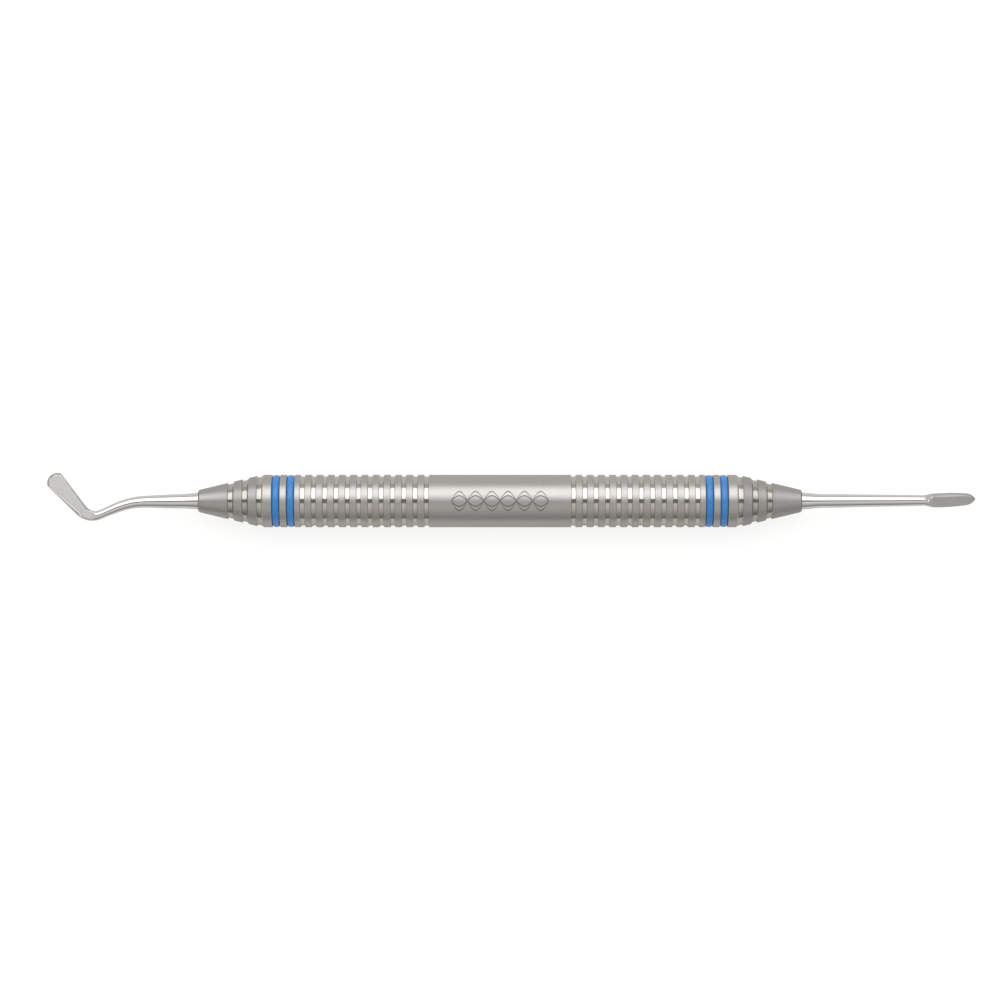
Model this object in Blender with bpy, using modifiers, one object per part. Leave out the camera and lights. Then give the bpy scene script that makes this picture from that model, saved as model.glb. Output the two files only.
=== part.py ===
"""Double-ended dental elevator: a hollow grooved steel handle with a spatula at one end and a lance at the other.

The handle lies along X with its lowest flat on the ground plane Z = 0, under the middle of the handle. The spatula
end is at -X and the lance end at +X. The shanks bend in the horizontal plane, so both blades face up.
"""

import math

import bmesh
import bpy
from mathutils import Matrix, Vector

MM = 0.001

# Driving dimensions, in millimetres.
HANDLE_RADIUS = 9.525 / 2
HANDLE_HALF_LENGTH = 54.7
SEGMENTS = 32
FIT_GAP = 0.04

# Grip grooves, counted from the middle of the handle outwards, the same on both sides.
GRIP_GROOVES = 12
GRIP_FIRST = 13.28
GRIP_PITCH = 2.037
GRIP_WIDTH = 0.8
GRIP_DEPTH = 0.3

# Nose cone, measured inwards from its front face.
NOSE_RADIUS = 1.99
NOSE_EDGE = 0.3
CONE_SLOPE = 0.24
CONE_GROOVES = (5.91, 8.56, 11.20)
CONE_GROOVE_WIDTH = 0.98
CONE_GROOVE_DEPTH = 0.3
CONE_HOLLOW_RADIUS = 2.8
CONE_HOLLOW_START = 11.8
DRILL_POINT = 0.7
SPIGOT_END = 24.5

# Colour rings and their grooves, measured inwards from the front face.
RING_CENTRES = (14.19, 16.84)
RING_GROOVE_WIDTH = 1.45
RING_FLOOR_RADIUS = 3.8
RING_SHOULDER = 0.46
RING_CROWN_STEPS = 6

# Tangs of the working ends, and the knurled collars that hold them in the cones.
TANG_RADIUS = 1.5
TANG_LENGTH = 11.0
SHANK_RADIUS = 1.55
COLLAR_RADIUS = 1.55
COLLARS = (-9.5, -4.0)
COLLAR_LENGTH = 2.0
SECTION_POINTS = 24

# Places that follow from the dimensions above.
AXIS_HEIGHT = HANDLE_RADIUS * math.cos(math.pi / SEGMENTS)
RING_EDGES = [
    (centre - RING_GROOVE_WIDTH / 2, centre + RING_GROOVE_WIDTH / 2)
    for centre in RING_CENTRES
]
BARREL_HALF_LENGTH = HANDLE_HALF_LENGTH - RING_EDGES[1][1]
BORE_RADIUS = RING_FLOOR_RADIUS + FIT_GAP

# Route of each working end from the cone's front face, as legs of (length, turn in degrees), turning left of the
# way out as +Y. A leg with a turn is an arc.
SPATULA_LEAN = -0.75
DIP_RADIUS, DIP_TURN = 14.85, -22.2
ELBOW_RADIUS, ELBOW_TURN = 3.1, 71.45
SPATULA_LEGS = (
    (9.45, 0.0),
    (DIP_RADIUS * math.radians(-DIP_TURN), DIP_TURN),
    (2.95, 0.0),
    (ELBOW_RADIUS * math.radians(ELBOW_TURN), ELBOW_TURN),
    (8.37, 0.0),
)
LANCE_LEAN = 0.25
LANCE_LEGS = ((22.5, 0.0), (4.5, 2.4), (4.56, -1.2))

# Sections along each route: distance, width, rise above the centreline before grinding, depth below it.
SPATULA_SECTIONS = (
    (0.0, 3.10, 1.55, 1.55),
    (1.3, 2.82, 1.41, 1.41),
    (2.4, 2.66, 1.33, 1.33),
    (5.0, 2.53, 1.265, 1.265),
    (9.0, 2.20, 1.10, 1.10),
    (11.0, 2.08, 1.04, 1.04),
    (12.8, 1.97, 0.985, 0.985),
    (15.0, 1.85, 0.925, 0.925),
    (17.4, 1.66, 0.83, 0.83),
    (18.4, 1.68, 0.80, 0.84),
    (19.1, 1.76, 0.73, 0.83),
    (19.7, 1.85, 0.67, 0.81),
    (20.2, 1.95, 0.62, 0.80),
    (20.8, 2.04, 0.58, 0.78),
    (21.3, 2.12, 0.55, 0.75),
    (23.2, 2.41, 0.48, 0.67),
    (25.8, 2.81, 0.42, 0.58),
    (28.2, 3.19, 0.36, 0.50),
    (29.45, 3.34, 0.33, 0.42),
    (29.8, 2.96, 0.28, 0.34),
    (30.15, 2.00, 0.20, 0.25),
    (30.39, 0.70, 0.14, 0.14),
)
LANCE_SECTIONS = (
    (0.0, 3.10, 1.55, 1.55),
    (1.4, 2.88, 1.44, 1.44),
    (2.8, 2.58, 1.29, 1.29),
    (3.8, 2.46, 1.23, 1.23),
    (6.0, 2.46, 1.23, 1.23),
    (9.8, 2.32, 1.16, 1.16),
    (13.0, 2.22, 1.11, 1.11),
    (18.0, 2.08, 1.04, 1.04),
    (21.0, 1.97, 0.985, 0.985),
    (22.2, 1.92, 0.93, 0.95),
    (22.9, 2.11, 0.78, 0.93),
    (23.4, 2.38, 0.62, 0.88),
    (24.0, 2.51, 0.54, 0.83),
    (24.6, 2.57, 0.54, 0.80),
    (26.7, 2.56, 0.56, 0.72),
    (28.9, 2.35, 0.52, 0.58),
    (30.0, 2.12, 0.44, 0.46),
    (30.5, 1.85, 0.38, 0.39),
    (31.05, 1.20, 0.27, 0.28),
    (31.4, 0.58, 0.16, 0.17),
    (31.56, 0.30, 0.09, 0.10),
)

# The ground face of each blade: where it becomes flat, its height above the centreline there, how much it drops per
# millimetre towards the tip, how much it rises per millimetre towards +Y, and the radius of its run-out.
SPATULA_FACE = (20.3, 0.41, 0.025, -0.03, 0.8)
LANCE_FACE = (24.0, 0.33, 0.01, 0.22, 0.9)


def clear_scene():
    for old in list(bpy.data.objects):
        bpy.data.objects.remove(old)


def steel_or_rubber(name, colour, roughness, metallic):
    material = bpy.data.materials.new(name)
    material.use_nodes = True
    shader = material.node_tree.nodes["Principled BSDF"]
    shader.inputs["Base Color"].default_value = (*colour, 1.0)
    shader.inputs["Roughness"].default_value = roughness
    shader.inputs["Metallic"].default_value = metallic
    return material


def place(name, mesh, material, collection, parent):
    """A new object on the mesh, in the collection and under the parent."""
    piece = bpy.data.objects.new(name, mesh)
    collection.objects.link(piece)
    piece.parent = parent
    if not mesh.materials:
        mesh.materials.append(material)
    return piece


def turned_mesh(name, outline):
    """The edge loop of a turned piece. The outline holds (axial place, radius) points in millimetres, and runs from
    the far end to the near end along the outside, then back along the bore."""
    mesh = bpy.data.meshes.new(name)
    points = [(radius * MM, 0.0, along * MM) for along, radius in outline]
    edges = [(i, (i + 1) % len(points)) for i in range(len(points))]
    mesh.from_pydata(points, edges, [])
    return mesh


def turn(piece):
    """Sweeps the piece's outline round its own Z axis."""
    lathe = piece.modifiers.new("Lathe", "SCREW")
    lathe.steps = lathe.render_steps = SEGMENTS
    lathe.use_merge_vertices = True
    lathe.merge_threshold = 1e-7
    lathe.use_smooth_shade = False


def along_x(offset, side=1):
    """Stands a turned piece along X at an axial offset from the middle, pointing to the given side. The half step
    about its own axis brings a flat of the faceted surface to the bottom."""
    return (
        Matrix.Translation((offset * MM, 0.0, AXIS_HEIGHT * MM))
        @ Matrix.Rotation(side * math.pi / 2, 4, "Y")
        @ Matrix.Rotation(math.pi / SEGMENTS, 4, "Z")
    )


def barrel_outline():
    """Grooved tube, from +X to -X along the outside and back along the bore."""
    centres = [GRIP_FIRST + GRIP_PITCH * i for i in range(GRIP_GROOVES)]
    outside = [(BARREL_HALF_LENGTH, HANDLE_RADIUS)]
    for centre in [*reversed(centres), *(-c for c in centres)]:
        near, far = centre + GRIP_WIDTH / 2, centre - GRIP_WIDTH / 2
        floor = HANDLE_RADIUS - GRIP_DEPTH
        outside += [(near, HANDLE_RADIUS), (near, floor), (far, floor), (far, HANDLE_RADIUS)]
    outside.append((-BARREL_HALF_LENGTH, HANDLE_RADIUS))
    return outside + [(-BARREL_HALF_LENGTH, BORE_RADIUS), (BARREL_HALF_LENGTH, BORE_RADIUS)]


def cone_radius(depth):
    """Outer radius of the nose cone at a depth behind its front face."""
    return min(HANDLE_RADIUS, NOSE_RADIUS + CONE_SLOPE * depth)


def nose_edge():
    """Quarter round from the front face to the cone's slope, as (depth, radius) points."""
    steps = 3
    points = []
    for i in range(steps + 1):
        angle = math.pi / 2 * i / steps
        depth = NOSE_EDGE * (1 - math.cos(angle))
        points.append((depth, cone_radius(NOSE_EDGE) - NOSE_EDGE * (1 - math.sin(angle))))
    return points


def cone_outline():
    """Nose cone with its spigot, as depths behind the front face turned into places from the handle's middle."""
    points = [(0.0, SHANK_RADIUS + FIT_GAP), *nose_edge()]
    for centre in CONE_GROOVES:
        near, far = centre - CONE_GROOVE_WIDTH / 2, centre + CONE_GROOVE_WIDTH / 2
        points += [
            (near, cone_radius(near)),
            (near, cone_radius(near) - CONE_GROOVE_DEPTH),
            (far, cone_radius(far) - CONE_GROOVE_DEPTH),
            (far, cone_radius(far)),
        ]
    outer, inner = RING_EDGES
    points += [
        (outer[0], HANDLE_RADIUS),
        (outer[0], RING_FLOOR_RADIUS),
        (outer[1], RING_FLOOR_RADIUS),
        (outer[1], HANDLE_RADIUS),
        (inner[0], HANDLE_RADIUS),
        (inner[0], RING_FLOOR_RADIUS),
        (SPIGOT_END, RING_FLOOR_RADIUS),
        (SPIGOT_END, CONE_HOLLOW_RADIUS),
        (CONE_HOLLOW_START + DRILL_POINT, CONE_HOLLOW_RADIUS),
        (CONE_HOLLOW_START, SHANK_RADIUS + FIT_GAP),
    ]
    return [(HANDLE_HALF_LENGTH - depth, radius) for depth, radius in points]


def ring_outline():
    """Colour ring about its own middle: flat bore and sides, and a crown that comes up level with the handle."""
    half_width = RING_GROOVE_WIDTH / 2 - FIT_GAP
    shoulder = HANDLE_RADIUS - RING_SHOULDER
    rise = RING_SHOULDER - FIT_GAP
    crown = []
    for i in range(RING_CROWN_STEPS + 1):
        angle = math.pi * i / RING_CROWN_STEPS
        crown.append((half_width * math.cos(angle), shoulder + rise * math.sin(angle)))
    bore = RING_FLOOR_RADIUS + 1.5 * FIT_GAP
    return crown + [(-half_width, bore), (half_width, bore)]


def walk(legs, lean, distance):
    """Point and heading at a distance along a flat route that starts at the cone's face and leans off its axis.
    The first coordinate runs outwards and the second to the left of the way out."""
    point, heading = Vector((0.0, 0.0)), math.radians(lean)
    if distance < 0:
        return Vector((distance, 0.0)), 0.0
    for length, turn_degrees in legs:
        step = min(distance, length)
        bend = math.radians(turn_degrees) * step / length
        chord = step if bend == 0 else 2 * step / bend * math.sin(bend / 2)
        middle = heading + bend / 2
        point += chord * Vector((math.cos(middle), math.sin(middle)))
        heading += bend
        distance -= step
    return point, heading


def tang_sections():
    """The tang inside the cone, with its two knurled collars, as round sections like those of the shank."""
    stations = [(-TANG_LENGTH, TANG_RADIUS - 0.2), (-TANG_LENGTH + 0.2, TANG_RADIUS)]
    for start in COLLARS:
        end = start + COLLAR_LENGTH
        stations += [
            (start, TANG_RADIUS),
            (start + 0.05, COLLAR_RADIUS),
            (end - 0.05, COLLAR_RADIUS),
            (end, TANG_RADIUS),
        ]
    stations.append((-0.3, TANG_RADIUS))
    return [(along, 2 * radius, radius, radius) for along, radius in stations]


def ground_height(face, distance, aside):
    """Height of the ground face above the centreline. Before it becomes flat it curves up and out of the shank."""
    start, height, drop, tilt, run_out = face
    before = max(0.0, start - distance)
    return height + drop * (start - distance) + tilt * aside + before**2 / (2 * run_out)


def section_ring(legs, lean, face, station):
    """One closed ring of points of a working end: (outwards, left, up) in millimetres from the cone's face."""
    distance, width, rise, depth = station
    centre, heading = walk(legs, lean, distance)
    across = Vector((-math.sin(heading), math.cos(heading)))
    ring = []
    for i in range(SECTION_POINTS):
        angle = 2 * math.pi * i / SECTION_POINTS
        aside = width / 2 * math.cos(angle)
        up = math.sin(angle) * (rise if math.sin(angle) > 0 else depth)
        side = centre + across * aside
        ring.append(Vector((side.x, side.y, min(up, ground_height(face, distance, aside)))))
    return ring


def working_end_mesh(name, sections, face, legs, lean):
    """A closed solid lofted through the tang's and the shank's sections."""
    shape = bmesh.new()
    rings = [
        [shape.verts.new(point * MM) for point in section_ring(legs, lean, face, station)]
        for station in [*tang_sections(), *sections]
    ]
    for near, far in zip(rings, rings[1:]):
        for i in range(SECTION_POINTS):
            j = (i + 1) % SECTION_POINTS
            shape.faces.new((near[i], near[j], far[j], far[i]))
    shape.faces.new(reversed(rings[0]))
    shape.faces.new(rings[-1])
    bmesh.ops.recalc_face_normals(shape, faces=shape.faces)
    mesh = bpy.data.meshes.new(name)
    shape.to_mesh(mesh)
    shape.free()
    mesh.shade_smooth()
    mesh.set_sharp_from_angle(angle=math.radians(30))
    return mesh


def build():
    clear_scene()
    collection = bpy.data.collections.new("dental_elevator")
    bpy.context.scene.collection.children.link(collection)
    rest_point = bpy.data.objects.new("dental_elevator_rest_point", None)
    collection.objects.link(rest_point)

    satin = steel_or_rubber("satin_steel", (0.42, 0.41, 0.39), 0.42, 1.0)
    polished = steel_or_rubber("polished_steel", (0.62, 0.62, 0.61), 0.18, 1.0)
    blue = steel_or_rubber("blue_silicone", (0.035, 0.16, 0.45), 0.45, 0.0)

    barrel = place("handle_barrel", turned_mesh("barrel", barrel_outline()), satin, collection, rest_point)
    turn(barrel)
    barrel.matrix_world = along_x(0.0)

    cone_mesh = turned_mesh("nose_cone", cone_outline())
    ring_mesh = turned_mesh("colour_ring", ring_outline())
    for side_name, side in (("left", -1), ("right", 1)):
        cone = place(f"end_cone_{side_name}", cone_mesh, satin, collection, rest_point)
        turn(cone)
        cone.matrix_world = along_x(0.0, side)
        for place_name, centre in zip(("outer", "inner"), RING_CENTRES):
            ring = place(f"ring_{side_name}_{place_name}", ring_mesh, blue, collection, rest_point)
            turn(ring)
            ring.matrix_world = along_x(side * (HANDLE_HALF_LENGTH - centre), side)

    # The spatula end points to -X, so its way out is turned round and its left side mirrored back to +Y.
    spatula_mesh = working_end_mesh("spatula", SPATULA_SECTIONS, SPATULA_FACE, SPATULA_LEGS, SPATULA_LEAN)
    spatula_mesh.transform(Matrix.Diagonal((-1.0, 1.0, 1.0, 1.0)))
    spatula_mesh.flip_normals()
    spatula = place("spatula_end", spatula_mesh, polished, collection, rest_point)
    spatula.location = (-HANDLE_HALF_LENGTH * MM, 0.0, AXIS_HEIGHT * MM)

    lance_mesh = working_end_mesh("lance", LANCE_SECTIONS, LANCE_FACE, LANCE_LEGS, LANCE_LEAN)
    lance = place("lance_end", lance_mesh, polished, collection, rest_point)
    lance.location = (HANDLE_HALF_LENGTH * MM, 0.0, AXIS_HEIGHT * MM)


build()
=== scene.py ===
# %% [markdown]
# # Double-ended dental elevator
# The instrument is a hollow steel handle with a pressed-in working end on each side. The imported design
# gives the place and size of every part. This lesson builds the finished surfaces around it: turned and
# blasted steel, polished shanks, ground blades and silicone rings. Loading comes first, so that every
# size below can be read from the design.

# %% Load the design
import math

import bpy
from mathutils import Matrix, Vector


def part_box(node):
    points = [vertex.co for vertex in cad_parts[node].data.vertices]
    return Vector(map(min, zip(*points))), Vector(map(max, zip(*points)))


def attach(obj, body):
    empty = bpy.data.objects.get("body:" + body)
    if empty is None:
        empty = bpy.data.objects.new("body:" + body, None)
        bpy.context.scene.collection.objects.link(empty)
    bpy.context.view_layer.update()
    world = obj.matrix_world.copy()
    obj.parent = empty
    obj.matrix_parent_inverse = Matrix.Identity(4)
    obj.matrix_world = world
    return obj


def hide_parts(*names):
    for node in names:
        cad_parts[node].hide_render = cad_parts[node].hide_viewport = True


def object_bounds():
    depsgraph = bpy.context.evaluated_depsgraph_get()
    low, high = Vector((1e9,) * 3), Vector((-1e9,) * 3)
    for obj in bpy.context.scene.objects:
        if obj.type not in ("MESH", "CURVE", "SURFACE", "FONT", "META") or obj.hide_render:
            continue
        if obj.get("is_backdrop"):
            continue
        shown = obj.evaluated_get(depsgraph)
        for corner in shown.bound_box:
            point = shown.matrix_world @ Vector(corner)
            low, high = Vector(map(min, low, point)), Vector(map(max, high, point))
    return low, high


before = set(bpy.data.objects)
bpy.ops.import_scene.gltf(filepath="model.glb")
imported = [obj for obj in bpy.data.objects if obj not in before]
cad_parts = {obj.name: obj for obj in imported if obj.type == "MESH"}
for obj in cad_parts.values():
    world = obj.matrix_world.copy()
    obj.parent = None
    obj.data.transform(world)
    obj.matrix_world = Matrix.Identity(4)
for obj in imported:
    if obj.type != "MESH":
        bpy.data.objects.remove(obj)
cad_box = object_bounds()

# %% [markdown]
# ## Driving sizes
# The handle lies along X. Its ends, its seam and the height of its axis are read from the design's boxes.
# The design has 32 flats round the handle, and the round surface runs through their corners, so its
# radius is a little larger than half the height of the box. Depths along the nose cone are counted from
# its front face.

# %% Read the driving sizes
MM = 0.001
CAD_FLATS = 32
barrel_low, barrel_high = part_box("handle_barrel")
HANDLE_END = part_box("end_cone_right")[1].x
BARREL_END = barrel_high.x
AXIS_Z = (barrel_low.z + barrel_high.z) / 2
RADIUS = (barrel_high.z - barrel_low.z) / 2 / math.cos(math.pi / CAD_FLATS)

NOSE_RADIUS = 1.99 * MM
CONE_SLOPE = 0.24
FIT_GAP = 0.04 * MM
SHANK_RADIUS = 1.55 * MM
RING_FLOOR = 3.8 * MM
print(f"handle {2 * HANDLE_END / MM:.1f} mm long and {2 * RADIUS / MM:.2f} mm thick")
print(f"axis {AXIS_Z / MM:.2f} mm above the table")

# %% [markdown]
# ## Helpers for modelling by hand
# Operators act on whatever is selected, and loading leaves the design's parts selected. So each step
# starts with nothing selected and picks its own piece. Edit mode is entered and left in one place, which
# keeps the steps short.

# %% Selection and modifiers
def only(piece):
    """Makes a piece the one selected and active object."""
    bpy.ops.object.select_all(action="DESELECT")
    piece.select_set(True)
    bpy.context.view_layer.objects.active = piece


def edit(piece):
    """Opens a piece in edit mode with everything on it selected."""
    only(piece)
    bpy.ops.object.mode_set(mode="EDIT")
    bpy.ops.mesh.select_all(action="SELECT")


def close_edit():
    """Welds the seams, turns the faces outwards and leaves edit mode."""
    bpy.ops.mesh.select_all(action="SELECT")
    bpy.ops.mesh.remove_doubles(threshold=WELD)
    bpy.ops.mesh.normals_make_consistent(inside=False)
    bpy.ops.object.mode_set(mode="OBJECT")


def apply_modifier(piece, kind, **settings):
    """Adds a modifier, sets it and applies it."""
    only(piece)
    modifier = piece.modifiers.new(kind.title(), kind)
    for name, value in settings.items():
        setattr(modifier, name, value)
    bpy.ops.object.modifier_apply(modifier=modifier.name)


def smooth(piece, degrees=32):
    """Shades a piece smooth, and keeps edges sharper than the angle crisp."""
    only(piece)
    bpy.ops.object.shade_smooth_by_angle(angle=math.radians(degrees))


WELD = 0.5e-6
print("helpers ready, welding at", WELD / MM, "mm")

# %% [markdown]
# ## Turning
# The barrel, the cones and the rings are lathe work. A cylinder could be grooved with extrude and scale,
# but a turner thinks in outlines: the profile is drawn once, point after point, and swept round the axis.
# One vertex is left of a plane, it is extruded along the outline, and Spin does the sweep. The outline is
# a closed loop, so the solid is too.

# %% Draw an outline and spin it
AROUND = 160


def turned(name, outline):
    """A solid of revolution about the handle's axis. The outline holds (along X, radius) points."""
    bpy.ops.object.select_all(action="DESELECT")
    bpy.ops.mesh.primitive_plane_add(size=MM, location=(0, 0, 0))
    piece = bpy.context.object
    piece.name = piece.data.name = name
    bpy.ops.object.mode_set(mode="EDIT")
    bpy.ops.mesh.select_all(action="SELECT")
    bpy.ops.mesh.merge(type="CENTER")
    along, radius = outline[0]
    bpy.ops.transform.translate(value=(along, 0, AXIS_Z + radius))
    for (x0, r0), (x1, r1) in zip(outline, [*outline[1:], outline[0]]):
        bpy.ops.mesh.extrude_region_move(TRANSFORM_OT_translate={"value": (x1 - x0, 0, r1 - r0)})
    bpy.ops.mesh.select_all(action="SELECT")
    bpy.ops.mesh.remove_doubles(threshold=WELD)
    bpy.ops.mesh.spin(steps=AROUND, angle=2 * math.pi, center=(0, 0, AXIS_Z), axis=(1, 0, 0))
    close_edit()
    smooth(piece)
    print(name, len(outline), "outline points,", len(piece.data.polygons), "faces")
    return piece


def cone_radius(x):
    """Outer radius of the handle at a place along it, the nose cones included."""
    return min(RADIUS, NOSE_RADIUS + CONE_SLOPE * (HANDLE_END - abs(x)))


print("lathe ready, with", AROUND, "steps round")

# %% [markdown]
# ## Grip grooves
# A grooving tool leaves square walls, small corner fillets at the floor and a broken edge on each land.
# Those edges catch the light, so they are drawn in the outline and not left to the shading.

# %% Outline of one groove
EDGE_BREAK = 0.07 * MM
CORNER = 0.05 * MM


def groove(centre, width, depth, chamfer=EDGE_BREAK):
    """Points of one groove from its +X wall to its -X wall. The floor follows the outer surface, and the
    chamfer is the one on its -X edge."""
    high, low = centre + width / 2, centre - width / 2
    return [
        (high + EDGE_BREAK, cone_radius(high + EDGE_BREAK)),
        (high, cone_radius(high) - EDGE_BREAK),
        (high, cone_radius(high) - depth + CORNER),
        (high - CORNER, cone_radius(high - CORNER) - depth),
        (low + CORNER, cone_radius(low + CORNER) - depth),
        (low, cone_radius(low) - depth + CORNER),
        (low, cone_radius(low) - chamfer),
        (low - chamfer, cone_radius(low - chamfer)),
    ]


print("edges broken by", EDGE_BREAK / MM, "mm, corners filled by", CORNER / MM, "mm")

# %% Turn the barrel
GRIP_GROOVES = 12
GRIP_FIRST = 13.28 * MM
GRIP_PITCH = 2.037 * MM
GRIP_WIDTH = 0.80 * MM
GRIP_DEPTH = 0.30 * MM
BORE_RADIUS = RING_FLOOR + FIT_GAP

grip_centres = [GRIP_FIRST + GRIP_PITCH * i for i in range(GRIP_GROOVES)]
barrel_outline = [(BARREL_END, RADIUS - EDGE_BREAK), (BARREL_END - EDGE_BREAK, RADIUS)]
for centre in [*reversed(grip_centres), *(-c for c in grip_centres)]:
    barrel_outline += groove(centre, GRIP_WIDTH, GRIP_DEPTH)
barrel_outline += [
    (-BARREL_END + EDGE_BREAK, RADIUS),
    (-BARREL_END, RADIUS - EDGE_BREAK),
    (-BARREL_END, BORE_RADIUS),
    (BARREL_END, BORE_RADIUS),
]
barrel = turned("handle_tube", barrel_outline)

# %% [markdown]
# ## Nose cones
# Each cone is turned from one bar: a rounded nose, the slope with three grooves, a land, the outer ring
# groove, and a spigot whose root is the inner ring groove's floor. A bore takes the working end's tang,
# and a drill from behind hollows the rest. The right cone is modelled, and the left one is its mirrored
# copy.

# %% Turn the right cone
NOSE_ROUND = 0.42 * MM
CONE_GROOVES = (5.91 * MM, 8.56 * MM, 11.20 * MM)
CONE_GROOVE_WIDTH = 0.98 * MM
CONE_GROOVE_DEPTH = 0.30 * MM
LEADING_CHAMFER = 0.20 * MM
RING_CENTRES = (14.19 * MM, 16.84 * MM)
RING_GROOVE_WIDTH = 1.45 * MM
SPIGOT_END = 24.5 * MM
HOLLOW_RADIUS = 2.8 * MM
HOLLOW_START = 11.8 * MM
DRILL_POINT = 0.7 * MM
TANG_BORE = SHANK_RADIUS + FIT_GAP
NOSE_STEPS = 8


def nose_round():
    """Quarter round from the cone's front face to its slope."""
    points = []
    top = cone_radius(HANDLE_END - NOSE_ROUND)
    for i in range(NOSE_STEPS + 1):
        angle = math.pi / 2 * i / NOSE_STEPS
        back, down = NOSE_ROUND * (1 - math.cos(angle)), NOSE_ROUND * (1 - math.sin(angle))
        points.append((HANDLE_END - back, top - down))
    return points


def ring_groove_wall(x, outwards):
    """Two points of a ring groove's wall at the surface, with its broken edge on the given side."""
    return [(x + outwards * EDGE_BREAK, RADIUS), (x, RADIUS - EDGE_BREAK)]


cone_outline = [(HANDLE_END, TANG_BORE), *nose_round()]
for depth in CONE_GROOVES:
    cone_outline += groove(HANDLE_END - depth, CONE_GROOVE_WIDTH, CONE_GROOVE_DEPTH, LEADING_CHAMFER)
outer_high, inner_high = (HANDLE_END - depth + RING_GROOVE_WIDTH / 2 for depth in RING_CENTRES)
outer_low = outer_high - RING_GROOVE_WIDTH
cone_outline += [
    *ring_groove_wall(outer_high, 1),
    (outer_high, RING_FLOOR),
    (outer_low, RING_FLOOR),
    *reversed(ring_groove_wall(outer_low, -1)),
    *ring_groove_wall(inner_high, 1),
    (inner_high, RING_FLOOR),
    (HANDLE_END - SPIGOT_END + EDGE_BREAK, RING_FLOOR),
    (HANDLE_END - SPIGOT_END, RING_FLOOR - EDGE_BREAK),
    (HANDLE_END - SPIGOT_END, HOLLOW_RADIUS),
    (HANDLE_END - HOLLOW_START - DRILL_POINT, HOLLOW_RADIUS),
    (HANDLE_END - HOLLOW_START, TANG_BORE),
]
cone_right = turned("nose_cone_right", cone_outline)


# %% Copy and mirror it for the left
def copy_of(piece, name):
    """A copy with its own mesh."""
    only(piece)
    bpy.ops.object.duplicate(linked=False)
    copy = bpy.context.object
    copy.name = copy.data.name = name
    return copy


def mirrored(piece, name):
    """A copy mirrored across the middle of the handle, with its faces turned outwards again."""
    copy = copy_of(piece, name)
    edit(copy)
    bpy.ops.transform.resize(value=(-1, 1, 1), center_override=(0, 0, 0))
    close_edit()
    smooth(copy)
    print(name, "mirrored from", piece.name)
    return copy


cone_left = mirrored(cone_right, "nose_cone_left")

# %% [markdown]
# ## Colour rings
# A moulded silicone ring is stretched over the cone and snaps into its groove. Its section is a D: flat
# bore and sides, and a round crown that stands level with the steel. The crown is drawn as an arc in the
# outline. One ring is modelled, and the other three are copies that are moved or mirrored.

# %% Turn one ring and copy it
CROWN_STEPS = 20
RING_SHOULDER = 0.46 * MM
RING_SIDE_GAP = 0.02 * MM
RING_BORE = RING_FLOOR + 1.5 * FIT_GAP
ring_half = RING_GROOVE_WIDTH / 2 - RING_SIDE_GAP
ring_middle = HANDLE_END - RING_CENTRES[0]
ring_outline = []
for i in range(CROWN_STEPS + 1):
    angle = math.pi * i / CROWN_STEPS
    crown = RADIUS - RING_SHOULDER + (RING_SHOULDER - FIT_GAP) * math.sin(angle)
    ring_outline.append((ring_middle + ring_half * math.cos(angle), crown))
ring_outline += [(ring_middle - ring_half, RING_BORE), (ring_middle + ring_half, RING_BORE)]
ring_right_outer = turned("silicone_ring_right_outer", ring_outline)
ring_right_inner = copy_of(ring_right_outer, "silicone_ring_right_inner")
edit(ring_right_inner)
bpy.ops.transform.translate(value=(RING_CENTRES[0] - RING_CENTRES[1], 0, 0))
close_edit()
rings = {
    "ring_right_outer": ring_right_outer,
    "ring_right_inner": ring_right_inner,
    "ring_left_outer": mirrored(ring_right_outer, "silicone_ring_left_outer"),
    "ring_left_inner": mirrored(ring_right_inner, "silicone_ring_left_inner"),
}
print(len(rings), "rings")

# %% [markdown]
# ## Working ends: the straight blank
# A working end starts as a straight tapered rod that is forged flat at its end, then bent, then ground.
# It is modelled in the same order. A filled circle is extruded station by station and scaled in width and
# thickness. The stations follow smooth curves through a few chosen sections, so that the taper has no
# corners.

# %% Smooth tapers
def along_curve(sections, distance, column):
    """Smooth value of one column of a section table at a distance: a cubic that never overshoots."""
    places = [row[0] for row in sections]
    values = [row[column] for row in sections]
    i = max(0, min(len(places) - 2, sum(place <= distance for place in places) - 1))
    slopes = [(b - a) / (q - p) for a, b, p, q in zip(values, values[1:], places, places[1:])]

    def tangent(k):
        if k in (0, len(values) - 1):
            return slopes[min(k, len(slopes) - 1)]
        before, after = slopes[k - 1], slopes[k]
        return 0.0 if before * after <= 0 else 2 * before * after / (before + after)

    span = places[i + 1] - places[i]
    t = (distance - places[i]) / span
    return (
        values[i] * (1 + 2 * t) * (1 - t) ** 2
        + values[i + 1] * t * t * (3 - 2 * t)
        + span * tangent(i) * t * (1 - t) ** 2
        - span * tangent(i + 1) * t * t * (1 - t)
    )


print("half way between 2 and 4 on a curve:", along_curve(((0, 2), (1, 4)), 0.5, 1))

# %% Extrude a blank along X
BLANK_SIDES = 72
TANG_LENGTH = 11.0
TANG_RADIUS = 1.5
TANG_CHAMFER = 0.2
COLLAR_RADIUS = 1.55
COLLARS = (-9.5, -4.0)
COLLAR_LENGTH = 2.0
COLLAR_SLOPE = 0.05
SHANK_STEP = 0.3
STATION_STEP = 0.25
BLADE_STEP = 0.1
BLADE_ZONE = 12.0
TIP_STEPS = 14
TIP_ZONE = 1.2
LAST_STATION = 0.004


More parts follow.
